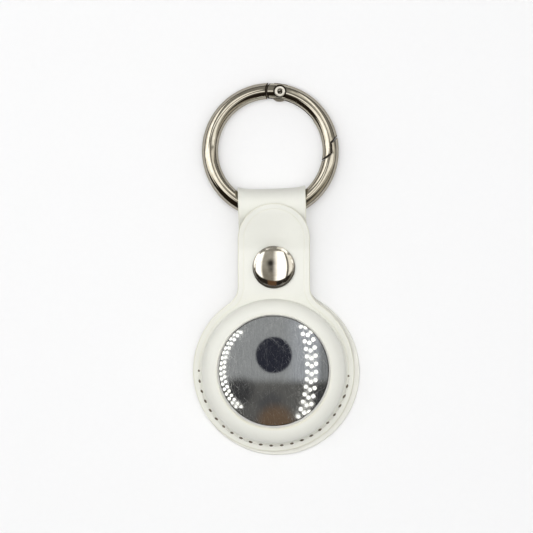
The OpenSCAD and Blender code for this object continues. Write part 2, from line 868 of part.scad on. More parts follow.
// Three sprung tabs on the floor of the battery well, each rising to the cell.
module battery_contacts() {
    contact_w = 1.6;
    contact_l = 3.2;
    contact_share = 0.55;
    foot_t = contact_t / 3;
    color(copper_colour) tag_frame() for (i = [0 : 2]) rotate(120 * i + 60)
        translate([contact_share * cell_r, 0, well_z + well_floor_t])
            rotate([90, 0, 0]) linear_extrude(contact_w, center = true)
                polygon([
                    [-contact_l / 2, 0], [contact_l / 3, 0], [contact_l / 2, contact_t - foot_t],
                    [contact_l / 2, contact_t - fit_gap], [contact_l / 3, contact_t - fit_gap],
                    [contact_l / 6, foot_t], [-contact_l / 2, foot_t]
                ]);
}

back_panel();
back_lining();
front_pocket();
pocket_lining();
stitches_front();
stitches_back();
front_flap();
flap_lining();
snap_cap();
snap_socket();
snap_spring();
snap_stud();
snap_post();
ring_body();
gate_pin();
ring_gate();
gate_spring();
tag_shell();
tag_body();
battery_cover();
coin_cell();
circuit_board();
speaker_magnet();
voice_coil();
battery_contacts();
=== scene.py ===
"""Looks of the leather tag holder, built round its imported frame."""

import math

import bpy
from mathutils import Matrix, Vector
from mathutils.geometry import delaunay_2d_cdt


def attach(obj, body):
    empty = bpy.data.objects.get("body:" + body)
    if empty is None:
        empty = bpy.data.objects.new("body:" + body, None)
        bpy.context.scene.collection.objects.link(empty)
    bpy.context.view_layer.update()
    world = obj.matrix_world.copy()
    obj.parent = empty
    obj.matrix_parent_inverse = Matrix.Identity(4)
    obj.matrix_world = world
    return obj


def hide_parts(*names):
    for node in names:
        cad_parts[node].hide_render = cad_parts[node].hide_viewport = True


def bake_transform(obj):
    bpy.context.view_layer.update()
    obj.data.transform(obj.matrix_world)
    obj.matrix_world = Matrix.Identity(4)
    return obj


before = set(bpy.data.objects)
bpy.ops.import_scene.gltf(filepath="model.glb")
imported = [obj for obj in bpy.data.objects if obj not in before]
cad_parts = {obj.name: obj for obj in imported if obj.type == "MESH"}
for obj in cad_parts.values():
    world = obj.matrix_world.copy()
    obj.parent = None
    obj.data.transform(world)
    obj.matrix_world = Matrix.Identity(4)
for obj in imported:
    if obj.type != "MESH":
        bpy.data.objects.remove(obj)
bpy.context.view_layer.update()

# Sizes below are in millimetres, and FAR is the open end of a range
MM = 0.001
FAR = 99

# Photograph: its width in pixels, its scale at a height, and the pixel of the frame's origin
PHOTO_PX = 533
PX_PER_MM = 4.25
SCALE_Z = 4
ORIGIN_PX = (273.8, 370.9)
CAMERA_HEIGHT = 1200
SENSOR = 36

# Leather and tag, as the part's source has them
leather_t = 0.9
lining_t = 0.3
wall_leather_t = 0.6
wall_lining_t = 0.2
layer_t = leather_t + lining_t
wall_t = wall_leather_t + wall_lining_t
clear_t = 0.05
tag_r = 15.85
tag_t = 8
tag_round = 2.25
pocket_gap = 0.25
tag_top = layer_t + tag_t
cover_r = 12.9
cover_y = 0.12

# Moulded dome with its window, and the flat leather round it
dome_r = tag_r + pocket_gap + wall_t
dome_top = tag_top + clear_t + wall_t
dome_round = tag_round + pocket_gap + wall_t
dome_fillet = 0.2
window_r = 13.25
lip_round = 0.2
front_r = dome_r + 2.1
back_r = dome_r + 2.6
back_drop = 0.35
skew = math.radians(1.7)
neck_w = 16.9
strap_w = 15.9
front_root_r = 4.9
back_root_r = 5.6
hinge_y = 0.6

# Snap: its cap, its stud's base and its socket
cap_r = 5
snap_gap = 2.5
stud_base_t = 0.5
socket_h = 2.15
snap_y = dome_r + snap_gap + cap_r
socket_z = 2 * leather_t + lining_t + stud_base_t + 3 * clear_t
flap_z = socket_z + socket_h

# Ring, with its seam and its latch: angles run clockwise from its top
wire_r = 1.9
ring_in = 12.3
ring_out = ring_in + 2 * wire_r
wire_mid = ring_in + wire_r
ring_centre = (-0.81, 51.78, 3.21)
ring_axis = (-0.002662, 0.089679, 0.995967)
ring_across = (0.99956, 0.029666, 0)
gate_pin_at = (1.435, 65.744, 1.963)
gate_gap = 0.28
heel_r = 3.1
pin_angle, latch_start, latch_end = math.radians(10.8), math.radians(84.6), math.radians(94.7)
latch_outer = 2 * wire_mid * math.sin((latch_start - pin_angle) / 2)
latch_inner = 2 * wire_mid * math.sin((latch_end - pin_angle) / 2)

# Painted shade: dark edges of the ring's gaps, and dark strips in their depth
latch_shade = gate_gap / 2 + 0.12
seam_shade = gate_gap / 2 + 0.2
shade_strip_play = 0.03
shade_strip_half = 0.8
shade_strip_turn = math.radians(27)

# Strap's loop round the ring, and its tail between the layers
loop_gap = 0.1
chord_in = math.sqrt(ring_in ** 2 - (strap_w / 2) ** 2)
loop_bore_r = (ring_out - chord_in) / 2 + loop_gap
loop_mid_r = loop_bore_r + leather_t / 2
loop_y = snap_y + 14.7
loop_z = leather_t + loop_bore_r
tail_angle = math.radians(45)
tail_bend_r = 2.2
tail_z = layer_t + leather_t / 2
tail_end = snap_y - 5.2
fold_dip = 0.6

# Flap's side profile: each step's lower end, upper end and bend, and the level seat under the cap
tip_gap = 0.15
tip_z = loop_z + loop_bore_r + leather_t + tip_gap
ramp = ((hinge_y + 0.2, layer_t), (snap_y - cap_r - tip_gap, flap_z), 10)
rise = ((snap_y + 0.65 * cap_r, flap_z), (loop_y + 0.1, tip_z), 6)
seat = (cap_r - 0.3, cap_r + 1.8)
neck_tip = loop_y + 2 * tip_gap

# Edges and crease
edge_round = 0.24
lining_round = 0.08
crease_inset = 1.35
crease_w = 0.36
crease_depth = 0.06
crease_paint = 0.45
edge_paint_w = 0.3

# Stitches, each from slot to slot: where it starts and how far it runs in shares of the pitch
stitch_r = front_r - crease_inset
stitch_count = 22
stitch_from = math.radians(180)
stitch_to = math.radians(356)
thread_r = 0.23
thread_radii = (thread_r * 1.05, thread_r * 0.9)
thread_start, thread_run = 0.15, 0.70
thread_sunk, thread_lift = 0.34, 0.40
thread_lean = 0.14
thread_steps, thread_sides = 13, 12
back_thread_z = 0.12
slot_length = 1.05
slot_width = 0.5
slot_slant = math.radians(12)
slot_taper = 0.35
slot_proud = 0.02
slot_sunk = 0.1

# Detail of the leather's meshes: steps along outlines, and distances in from their edges
RING_STEPS = 300
DISC_STEPS, ROOT_STEPS, TIP_STEPS = 120, 18, 40
FILLET_STEPS, SHOULDER_STEPS = 5, 13
WALL_SHARES = (0.33, 0.66)
EDGE_INSETS = [0, 0.02, 0.07, 0.15, edge_round]
CREASE_INSETS = [crease_inset + crease_w * share
                 for share in (-0.7, -0.5, -0.32, -0.15, 0, 0.15, 0.32, 0.5)]
FRONT_INSETS = EDGE_INSETS + [0.5, 0.8] + CREASE_INSETS
FRONT_LINING_INSETS = [0, 0.04, 0.1, 0.6, 1.4]
BACK_INSETS = EDGE_INSETS + [0.5, 1.0]
FRONT_GRID, BACK_GRID = 0.85, 0.8
GRID_MARGIN = 0.6


# Small mathematics

def smooth(x, low, high):
    """0 below low, 1 above high, and an easy curve between."""
    t = min(max((x - low) / (high - low), 0), 1)
    return t * t * (3 - 2 * t)


def spread(start, end, count):
    """Count values from start to end, both included."""
    return [start + (end - start) * i / (count - 1) for i in range(count)]


def turns(count):
    """Count angles all the way round."""
    return spread(0, math.tau, count + 1)[:-1]


def arc(centre, radius, start, end, count):
    """Count points along an arc, both its ends included."""
    return [(centre[0] + radius * math.cos(a), centre[1] + radius * math.sin(a))
            for a in spread(start, end, count)]


def circle(centre, radius, count):
    """Count points round a circle."""
    return arc(centre, radius, 0, math.tau, count + 1)[:-1]


def step_height(y, step, h):
    """Height of a sheet that steps from one level to another in two bends, h above its underside."""
    (y0, z0), (y1, z1), bend = step
    run = y1 - y0
    drop = 2 * bend - (z1 - z0)
    angle = math.asin(2 * bend / math.hypot(run, drop)) - math.atan(drop / run)
    inner, outer = bend - h, bend + h
    if y <= y0:
        return z0 + h
    if y >= y1:
        return z1 + h
    if y < y0 + inner * math.sin(angle):
        return z0 + bend - math.sqrt(inner ** 2 - (y - y0) ** 2)
    if y > y1 - outer * math.sin(angle):
        return z1 - bend + math.sqrt(outer ** 2 - (y1 - y) ** 2)
    slope_z = z0 + bend - inner * math.cos(angle)
    return slope_z + (y - y0 - inner * math.sin(angle)) * math.tan(angle)


def flap_height(x, y, h):
    """Height over the floor of the flap's sheet, h above its underside: level under the snap cap."""
    if y < snap_y:
        return step_height(y, ramp, h)
    open_part = smooth(math.hypot(x, y - snap_y), *seat)
    return flap_z + h + (step_height(y, rise, h) - flap_z - h) * open_part


def rounding(depth, radius):
    """Drop of a rounded edge at a depth in from the side."""
    return 0 if depth >= radius else radius - math.sqrt(radius ** 2 - (radius - depth) ** 2)


# Outlines

class Keyhole:
    """Outline of a disc with a neck that ends round, in its own plane."""

    def __init__(self, disc_r, width, root_r, tip_y, neck_steps):
        self.disc_r = disc_r
        self.half = width / 2
        self.root_r = root_r
        self.root = (self.half + root_r, math.sqrt((disc_r + root_r) ** 2 - (self.half + root_r) ** 2))
        self.tip = tip_y - self.half
        self.neck_steps = neck_steps

    def loop(self, inset):
        """Points round the outline, drawn in by an inset, from its lowest point and back."""
        turn = math.atan2(self.root[1], self.root[0])
        half = self.half - inset
        side = arc((0, 0), self.disc_r - inset, -math.pi / 2, turn, DISC_STEPS)
        side += arc(self.root, self.root_r + inset, math.pi + turn, math.pi, ROOT_STEPS)[1:]
        side += [(half, y) for y in spread(self.root[1], self.tip, self.neck_steps)][1:]
        side += arc((0, self.tip), half, 0, math.pi / 2, TIP_STEPS)[1:]
        return side + [(-x, y) for x, y in side[-2:0:-1]]

    def inset(self, x, y):
        """Distance of a point inside the outline from its edge."""
        x = abs(x)
        if y >= self.tip:
            return self.half - math.hypot(x, y - self.tip)
        if y >= self.root[1]:
            return self.half - x
        if self.root[0] * y > self.root[1] * x:
            return math.hypot(x - self.root[0], y - self.root[1]) - self.root_r
        return self.disc_r - math.hypot(x, y)


def plan_mesh(outline, insets, hole_r, grid):
    """Points and faces of a flat sheet: rings of quads along its edge, triangles inside.
    Returns them with the number of points in a loop and the place of the hole's ring."""
    loops = [outline.loop(inset) for inset in insets]
    n = len(loops[0])
    points = [p for loop in loops for p in loop]
    faces = ring_faces([k * n for k in range(len(loops))], n)
    inner = (len(loops) - 1) * n
    hole = len(points)
    ring = circle((0, 0), hole_r, RING_STEPS) if hole_r else []
    points += ring
    body = points[inner:]
    edges = [(i, (i + 1) % n) for i in range(n)]
    edges += [(n + i, n + (i + 1) % len(ring)) for i in range(len(ring))]
    margin = insets[-1] + GRID_MARGIN * grid
    top = outline.tip + outline.half
    for row in range(int(-outline.disc_r / grid), int(top / grid) + 1):
        for column in range(int(-outline.disc_r / grid), int(outline.disc_r / grid) + 1):
            x, y = column * grid, row * grid
            if outline.inset(x, y) > margin and math.hypot(x, y) > hole_r + GRID_MARGIN * grid:
                body.append((x, y))
                points.append((x, y))
    found, _, triangles, origin, _, _ = delaunay_2d_cdt([Vector(p) for p in body], edges, [], 0, 1e-7)
    for triangle in triangles:
        x = sum(found[v][0] for v in triangle) / 3
        y = sum(found[v][1] for v in triangle) / 3
        if outline.inset(x, y) > insets[-1] and math.hypot(x, y) > hole_r * 0.9999:
            faces.append(tuple(inner + origin[v][0] for v in triangle))
    return points, faces, n, hole


# Mesh objects

def add_object(name, data):
    """A new object in the scene."""
    made = bpy.data.objects.new(name, data)
    bpy.context.scene.collection.objects.link(made)
    return made


def make_object(name, points, faces, material, attributes=None, smooth_faces=True):
    """A mesh piece from points in millimetres, with values per point for its material."""
    mesh = bpy.data.meshes.new(name)
    mesh.from_pydata([(x * MM, y * MM, z * MM) for x, y, z in points], [], faces)
    for key, values in (attributes or {}).items():
        layer = mesh.attributes.new(key, "FLOAT", "POINT")
        layer.data.foreach_set("value", values)
    mesh.materials.append(material)
    mesh.polygons.foreach_set("use_smooth", [smooth_faces] * len(mesh.polygons))
    mesh.update()
    return add_object(name, mesh)


def ring_faces(rows, n):
    """Quads between rows of n points each, each row closed on itself."""
    faces = []
    for lower, upper in zip(rows, rows[1:]):
        for i in range(n):
            j = (i + 1) % n
            faces.append((lower + i, lower + j, upper + j, upper + i))
    return faces


# Node graphs

class Graph:
    """Short calls for building a material's or the world's nodes."""

    def __init__(self, tree):
        self.tree = tree
        tree.nodes.clear()

    def node(self, kind, inputs=None, **settings):
        """A shader node with its settings and inputs, each a value or another node's socket."""
        made = self.tree.nodes.new("ShaderNode" + kind)
        for key, value in settings.items():
            setattr(made, key, value)
        for key, value in (inputs or {}).items():
            if isinstance(value, bpy.types.NodeSocket):
                self.tree.links.new(value, made.inputs[key])
            else:
                made.inputs[key].default_value = value
        return made

    def math(self, operation, a, b=0.0, c=0.0):
        """A number worked out from up to three numbers."""
        return self.node("Math", {0: a, 1: b, 2: c}, operation=operation).outputs[0]

    def end(self, shader, kind="OutputMaterial"):
        """The output, which takes what a shader gives."""
        self.node(kind, {0: shader.outputs[0]})

    def times(self, a, b):
        """Product of two numbers; of two shares, 1 where both are."""
        return self.math("MULTIPLY", a, b)

    def minus(self, a, b):
        """Difference of two numbers."""
        return self.math("SUBTRACT", a, b)

    def either(self, a, b):
        """The larger of two shares."""
        return self.math("MAXIMUM", a, b)

    def vector(self, operation, a, b=(0.0, 0.0, 0.0)):
        """A vector operation's vector, or its number for a dot product or a length."""
        made = self.node("VectorMath", {0: a, 1: b}, operation=operation)
        return made.outputs[1 if operation in ("DOT_PRODUCT", "LENGTH") else 0]

    def plan(self, place):
        """The x and the y of a place."""
        made = self.node("SeparateXYZ", {0: place})
        return made.outputs[0], made.outputs[1]

    def mix(self, share, a, b):
        """Colour a where share is 0, and b where it is 1."""
        return self.node("Mix", {0: share, 6: a, 7: b}, data_type="RGBA").outputs[2]

    def remap(self, value, low, high, to_low, to_high, curve="LINEAR"):
        """A value between low and high moved to lie between two others."""
        inputs = {0: value, 1: low, 2: high, 3: to_low, 4: to_high}
        return self.node("MapRange", inputs, interpolation_type=curve).outputs[0]

    def shade(self, value, low, high, tones):
        """The first tone where a value is low, and the second where it is high."""
        return self.mix(self.remap(value, low, high, 0.0, 1.0), *tones)

    def band(self, value, low, high, soft, high_soft=None):
        """1 where a value lies between low and high, with soft ends."""
        high_soft = soft if high_soft is None else high_soft
        up = self.remap(value, low - soft, low + soft, 0.0, 1.0, "SMOOTHSTEP")
        down = self.remap(value, high - high_soft, high + high_soft, 1.0, 0.0, "SMOOTHSTEP")
        return self.times(up, down)

    def distance(self, x, y, at):
        """Distance in plan from a point."""
        across = self.math("POWER", self.minus(x, at[0]), 2.0)
        along = self.math("POWER", self.minus(y, at[1]), 2.0)
        return self.math("SQRT", self.math("ADD", across, along))

    def spot(self, x, y, at, radius, soft):
        """1 within a radius of a point."""
        return self.band(self.distance(x, y, at), -1, radius, soft)

    def beyond(self, x, y, at, radius, soft):
        """1 farther than a radius from a point."""
        return self.band(self.distance(x, y, at), radius, FAR, soft)

    def noise(self, vector, scale, detail=3.0, roughness=0.5):
        """Cloudy noise, from about 0.3 to 0.7."""
        inputs = {"Vector": vector, "Scale": scale, "Detail": detail, "Roughness": roughness}
        return self.node("TexNoise", inputs).outputs[0]

    def attribute(self, name):
        """A value that the mesh holds per point."""
        return self.node("Attribute", attribute_name=name).outputs["Fac"]


# Tones of leather and metals, in pairs where a pattern runs between two
LEATHER_TONE = (0.80, 0.80, 0.735, 1)
RING_TONES = ((0.40, 0.37, 0.31, 1), (0.455, 0.425, 0.365, 1))
CAP_TONES = ((0.545, 0.515, 0.45, 1), (0.61, 0.585, 0.53, 1))
RIVET_TONES = ((0.74, 0.71, 0.64, 1), (0.84, 0.81, 0.75, 1))
WIRE_TONES = ((0.5, 0.5, 0.52, 1), (0.66, 0.66, 0.67, 1))
CELL_TONES = ((0.62, 0.62, 0.63, 1), (0.74, 0.74, 0.74, 1))
MAGNET_TONES = ((0.28, 0.28, 0.30, 1), (0.4, 0.4, 0.42, 1))
COPPER_TONES = ((0.66, 0.33, 0.18, 1), (0.80, 0.44, 0.26, 1))

# Share of the floor's white that is the backdrop's own and takes no shadow
BACKDROP_SHARE = 0.2


# Materials

def material(name):
    """A new material, its node graph, and the place on the piece in millimetres."""
    made = bpy.data.materials.new(name)
    made.use_nodes = True
    net = Graph(made.node_tree)
    place = net.node("TexCoord").outputs["Object"]
    return made, net, net.vector("MULTIPLY", place, (1 / MM, 1 / MM, 1 / MM))


def surface(net, inputs, height, strength, depth):
    """The shader at a graph's end, with a bump from a height, its depth in millimetres."""
    bump = net.node("Bump", {"Height": height, "Strength": strength, "Distance": depth * MM})
    net.end(net.node("BsdfPrincipled", {"Normal": bump.outputs[0], **inputs}))


def leather_material():
    """Coated leather: fine pebbled grain, faint cloudy tone, and yellower paint on edge and crease, the
    same tone also painted shade on the window's lip towards the bottom.
    """
    made, net, place = material("off_white_leather")
    cloud = net.noise(place, 0.09, 4.0, 0.6)
    pores = net.node("TexVoronoi", {"Vector": place, "Scale": 2.6}).outputs["Distance"]
    grain = net.noise(place, 3.2, 5.0, 0.6)
    darker = tuple(0.955 * c for c in LEATHER_TONE[:3]) + (1,)
    body = net.shade(cloud, 0.3, 0.7, (darker, LEATHER_TONE))
    colour = net.mix(net.attribute("edge"), body, (0.77, 0.755, 0.64, 1))
    rough = net.remap(grain, 0.3, 0.7, 0.44, 0.58)
    height = net.math("ADD", net.times(pores, 0.5), grain)
    surface(net, {"Base Color": colour, "Roughness": rough, "Specular IOR Level": 0.4,
                  "Sheen Weight": 0.05, "Sheen Roughness": 0.4}, height, 0.35, 0.03)
    return made


def lining_material():
    """Suede-like lining: short soft nap."""
    made, net, place = material("suede_lining")
    nap = net.noise(place, 9.0, 6.0, 0.7)
    patch = net.noise(place, 0.5, 3.0, 0.5)
    colour = net.shade(net.math("ADD", nap, patch), 0.7, 1.3,
                       ((0.78, 0.77, 0.71, 1), (0.83, 0.825, 0.77, 1)))
    surface(net, {"Base Color": colour, "Roughness": 0.95, "Sheen Weight": 0.3,
                  "Specular IOR Level": 0.15}, nap, 0.6, 0.06)
    return made


def thread_material():
    """Waxed thread: plies that wind round it."""
    made, net, place = material("waxed_thread")
    twist = net.math("ADD", net.times(net.attribute("along"), 9.0),
                     net.times(net.attribute("around"), 3.0))
    ply = net.math("SINE", net.times(twist, math.tau))
    fuzz = net.noise(place, 14.0, 4.0, 0.6)
    share = net.math("ADD", net.times(ply, 0.3), fuzz)
    colour = net.shade(share, 0.2, 0.8, ((0.75, 0.74, 0.68, 1), (0.82, 0.81, 0.755, 1)))
    surface(net, {"Base Color": colour, "Roughness": 0.6, "Specular IOR Level": 0.35}, ply, 0.3, 0.03)
    return made


def slot_material():
    """Painted shade for the inside of a needle slot and for the ring's gaps: dark brown, in spots."""
    made, net, place = material("needle_slot")
    spots = net.noise(place, 4.0, 3.0, 0.6)
    colour = net.shade(spots, 0.35, 0.65, ((0.07, 0.052, 0.036, 1), (0.19, 0.155, 0.115, 1)))
    surface(net, {"Base Color": colour, "Roughness": 0.9}, spots, 0.4, 0.05)
    return made


def ring_gap_shade(net, place):
    """Painted shade: 1 on the cut faces inside the ring's wire and along the edges of the seam and the
    latch.
    """
    out = net.vector("SUBTRACT", place, ring_centre)
    height = net.vector("DOT_PRODUCT", out, ring_axis)
    level = net.times(height, height)

    def from_axis(vector):
        """Distance of a vector's end from the ring's axis."""
        length = net.vector("LENGTH", vector)
        return net.math("SQRT", net.minus(net.times(length, length), level))

    def gap(value, at, half, other, low, high):
        """1 along a gap that begins at a value, while another value is in its range."""
        at += gate_gap / 2
        return net.times(net.band(value, at - half, at + half, 0.03), net.band(other, low, high, 0.1))

    off = net.minus(from_axis(out), wire_mid)
    depth = net.math("SQRT", net.math("ADD", net.times(off, off), level))
    inside = net.band(depth, -1, wire_r - 0.07, 0.03)
    pin = net.vector("SUBTRACT", place, gate_pin_at)
    side = net.plan(pin)[0]
    from_pin = from_axis(pin)
    heel = gap(from_pin, heel_r, seam_shade, side, -9, 0)
    outer = gap(from_pin, latch_outer, latch_shade, off, 0, 9)
    inner = gap(from_pin, latch_inner, latch_shade, off, -9, 0.2)
    step = gap(off, 0, latch_shade, from_pin, latch_outer, latch_inner + gate_gap)
    latch = net.times(net.either(net.either(outer, inner), step), net.band(side, 3, 90, 0.1))
    return net.either(inside, net.either(heel, latch))


def cap_rim(net, place):
    """Painted shade: 1 on the rolled edge of the snap cap."""
    x, y = net.plan(place)
    return net.times(net.beyond(x, y, (0, snap_y + 0.3), cap_r - 0.3, 0.2), 0.8)


def rivet_shade_and_specks(net, place):
    """1 round the rim of the gate pin's head, as painted shade, and in specks over its dimple."""
    x, y = net.plan(place)
    specks = net.band(net.noise(place, 2.2), 0.42, 9, 0.03)
    dimple = net.times(net.spot(x, y, gate_pin_at, 0.62, 0.08), specks)
    return net.either(net.beyond(x, y, gate_pin_at, 1.22, 0.08), dimple)


def nickel_material(name, low, high, peel_strength=0.1, marks=None, tones=RING_TONES):
    """Polished warm nickel: orange peel, faint haze and hairlines, and dark, dull marks of painted shade
    where a mask is given, with specks in the rivet's dimple.
    """
    made, net, place = material(name)
    peel = net.noise(place, 0.35, 2.0, 0.4)
    haze = net.noise(place, 1.1, 4.0, 0.6)
    hair = net.noise(place, 12.0, 3.0, 0.6)
    colour = net.shade(haze, 0.35, 0.7, tones)
    rough = net.remap(net.math("ADD", haze, net.times(hair, 0.4)), 0.5, 1.0, low, high)
    if marks:
        # Painted shade, and the rivet's specks: the mask's places are darkened and dulled.
        painted_shade = marks(net, place)
        colour = net.mix(painted_shade, colour, (0.035, 0.028, 0.02, 1))
        rough = net.math("ADD", rough, net.times(painted_shade, 0.4))
    surface(net, {"Base Color": colour, "Metallic": 1.0, "Roughness": rough,
                  "Specular Tint": (0.42, 0.39, 0.34, 1)}, peel, peel_strength, 0.12)
    return made


# Scratches of the battery cover, family by family: angle, length against width, and fineness
SCRATCHES = ((1.45, 30, 2.6), (1.7, 34, 3.4), (0.75, 26, 2.2), (2.5, 28, 2.9), (1.1, 30, 3.8))


def scratches(net, place, turn, stretch, size):
    """Fine lines that run one way: the plane is turned first and stretched after."""
    turned = net.node("Mapping", {"Vector": place, "Rotation": (0, 0, turn)}).outputs[0]
    drawn = net.vector("MULTIPLY", turned, (size / stretch, size, size))
    return net.band(net.noise(drawn, 1.0, 2.0, 0.5), 0.638, 0.648, 0.008)


def cover_material():
    """Polished steel, finely scratched in every direction, with a greasy smudge or two, and a dark line
    of painted shade round its rim.
    """
    made, net, place = material("scratched_steel")
    marks = 0.0
    for family in SCRATCHES:
        marks = net.either(marks, scratches(net, place, *family))
    smudge = net.noise(place, 0.22, 4.0, 0.6)
    brushed = net.vector("MULTIPLY", place, (3.2, 0.35, 1.0))
    streak = net.math("ADD", net.times(net.noise(place, 3.4, 5.0, 0.75), 0.6),
                      net.times(net.noise(brushed, 1.0, 3.0, 0.6), 0.4))
    tone = net.shade(streak, 0.36, 0.64, ((0.50, 0.505, 0.515, 1), (0.72, 0.725, 0.725, 1)))
    colour = net.mix(net.times(marks, 0.35), tone, (0.82, 0.82, 0.82, 1))
    x, y = net.plan(place)
    # Painted shade: a dark line round the cover's rim.
    edge = net.beyond(x, y, (0, cover_y), cover_r - 0.14, 0.06)
    colour = net.mix(edge, colour, (0.07, 0.062, 0.05, 1))
    rough = net.math("ADD", net.remap(smudge, 0.42, 0.62, 0.05, 0.12), net.times(marks, 0.3))
    surface(net, {"Base Color": colour, "Metallic": 1.0, "Roughness": rough}, marks, 0.05, 0.01)
    return made


def plain_metal_material(name, tones, rough_low, rough_high, scale):
    """Drawn or plated metal: streaks of tone and roughness."""
    made, net, place = material(name)
    streak = net.noise(place, scale, 5.0, 0.6)
    colour = net.shade(streak, 0.35, 0.65, tones)
    rough = net.remap(streak, 0.3, 0.7, rough_low, rough_high)
    surface(net, {"Base Color": colour, "Metallic": 1.0, "Roughness": rough}, streak, 0.1, 0.02)
    return made


def plastic_material():
    """Glossy white plastic with fine dust and a moulded ripple, its tone set greyer than white as painted
    shade.
    """
    made, net, place = material("gloss_white_plastic")
    ripple = net.noise(place, 0.15, 2.0, 0.4)
    dust = net.noise(place, 7.0, 5.0, 0.7)
    # Both tones are greyer than the white plastic is: painted shade of its rim, sunk under the leather's
    # window.
    colour = net.shade(dust, 0.3, 0.8, ((0.76, 0.755, 0.72, 1), (0.70, 0.69, 0.65, 1)))
    rough = net.remap(dust, 0.3, 0.8, 0.10, 0.20)
    surface(net, {"Base Color": colour, "Roughness": rough, "IOR": 1.49}, ripple, 0.1, 0.1)
    return made


def board_material():
    """Circuit board: solder mask with tracks under it."""
    made, net, place = material("solder_mask")
    tracks = net.node("TexBrick", {
        "Vector": place, "Color1": (0.02, 0.10, 0.05, 1), "Color2": (0.015, 0.08, 0.04, 1),
        "Mortar": (0.05, 0.19, 0.10, 1), "Scale": 1.2, "Mortar Size": 0.05})
    rough = net.remap(net.noise(place, 6.0, 3.0, 0.5), 0.3, 0.7, 0.25, 0.4)
    surface(net, {"Base Color": tracks.outputs["Color"], "Roughness": rough},
            tracks.outputs["Fac"], 0.3, 0.03)
    return made


def floor_material():
    """White paper under the fob, hardly textured. Part of its white is the backdrop's own."""
    made, net, place = material("white_paper")
    fibre = net.noise(place, 0.8, 5.0, 0.6)
    colour = net.shade(fibre, 0.3, 0.7, ((0.905, 0.905, 0.908, 1), (0.915, 0.915, 0.918, 1)))
    paper = net.node("BsdfPrincipled", {"Base Color": colour, "Roughness": 0.85,
                                        "Specular IOR Level": 0.2})
    white = net.node("Emission", {"Color": (0.975, 0.975, 0.975, 1), "Strength": 1.0})
    ray = net.node("LightPath")
    seen = net.either(ray.outputs["Is Camera Ray"], ray.outputs["Is Glossy Ray"])
    seen = net.either(seen, ray.outputs["Is Transmission Ray"])
    share = net.times(seen, BACKDROP_SHARE)
    net.end(net.node("MixShader", {0: share, 1: paper.outputs[0], 2: white.outputs[0]}))
    return made


# Leather of the front: pocket and flap are one moulded sheet

FRONT = Keyhole(front_r, neck_w, front_root_r, neck_tip, 30)


def crease_at(depth):
    """Depth of the pressed crease at a distance in from the edge."""
    share = min(abs(depth - crease_inset) / (crease_w / 2), 1)
    return crease_depth * (0.5 + 0.5 * math.cos(math.pi * share))


def edge_paint(depth):
    """1 on the painted edge, less in the crease, and 0 on the open leather."""
    crease = 1 - smooth(abs(depth - crease_inset), 0.02, crease_w / 2)
    return max(1 - smooth(depth, 0.02, edge_paint_w), crease_paint * crease)


def dome_rows(inset, fillet):
    """Rows of the moulded dome: radius, share of the sheet's height there, and height on top of it."""
    wall = dome_r - inset
    shoulder = dome_round - inset
    level = dome_top - dome_round
    rows = [(wall + fillet * (1 - math.sin(t)), 1, fillet * (1 - math.cos(t)))
            for t in spread(0, math.pi / 2, FILLET_STEPS)] if fillet else [(wall, 1, 0)]
    rows += [(wall, 1 - share, fillet + (level - fillet) * share) for share in WALL_SHARES]
    return rows + [(dome_r - dome_round + shoulder * math.cos(t), 0, level + shoulder * math.sin(t))
                   for t in spread(0, math.pi / 2, SHOULDER_STEPS)]


def dome_points(rows, h):
    """Points of dome rows on a sheet that is h above the flap's underside."""
    return [(x, y, share * flap_height(x, y, h) + z) for radius, share, z in rows
            for x, y in circle((0, 0), radius, RING_STEPS)]


def front_sheet(name, skin, low, high, outer, inner, fillet, round_r, creased):
    """A closed moulded sheet, low to high above the flap's underside, from outer to inner in the dome."""
    insets = FRONT_INSETS if creased else FRONT_LINING_INSETS
    hole_r = dome_r - outer + fillet
    plan, faces, n, hole = plan_mesh(FRONT, insets, hole_r, FRONT_GRID)
    count = len(plan)
    points, edge = [], []
    for x, y in plan:
        depth = max(FRONT.inset(x, y), 0)
        drop = rounding(depth, round_r) + (crease_at(depth) if creased else 0)
        points.append((x, y, flap_height(x, y, high) - drop))
        edge.append(edge_paint(depth))
    # The underside has the same plan, but its hole is as wide as the dome's inside.
    share = (dome_r - inner) / hole_r
    for i, (x, y) in enumerate(plan):
        if hole <= i < hole + RING_STEPS:
            x, y = x * share, y * share
        lift = rounding(max(FRONT.inset(x, y), 0), round_r / 2)
        points.append((x, y, flap_height(x, y, low) + lift))
        edge.append(0.0)
    faces += [tuple(count + v for v in face[::-1]) for face in faces]
    faces += [(i, i + count, (i + 1) % n + count, (i + 1) % n) for i in range(n)]
    # Dome: up its outside, over the window's edge and down its inside.
    lip = min(lip_round, (inner - outer) / 2.5)
    outside = dome_rows(outer, fillet)[1:]
    inside = dome_rows(inner, 0)[:0:-1]
    top, under = dome_top - outer, dome_top - inner
    edge_rows = [(window_r + lip * (1 - math.sin(t)), 0, top - lip * (1 - math.cos(t)))
                 for t in spread(0, math.pi / 2, FILLET_STEPS)]
    edge_rows += [(window_r, 0, under + lip / 3), (window_r + lip / 3, 0, under)]
    start = len(points)
    points += dome_points(outside + edge_rows, high) + dome_points(inside, low)
    # The lip has the edge paint faintly all round, and the same tone more strongly towards the bottom as
    # painted shade.
    row_count = len(outside) + len(edge_rows) + len(inside)
    at_lip = range(len(outside) - 1, len(outside) + len(edge_rows))
    lip_paint_and_shade = [0.3 + 0.7 * max(-math.sin(a), 0) for a in turns(RING_STEPS)]
    for k in range(row_count):
        edge += lip_paint_and_shade if k in at_lip and creased else [0.0] * RING_STEPS
    starts = [hole] + [start + k * RING_STEPS for k in range(row_count)] + [count + hole]
    faces += ring_faces(starts, RING_STEPS)
    return make_object(name, points, faces, skin, {"edge": edge})


# Leather of the back: disc, neck, the strap's loop round the ring, and the tail

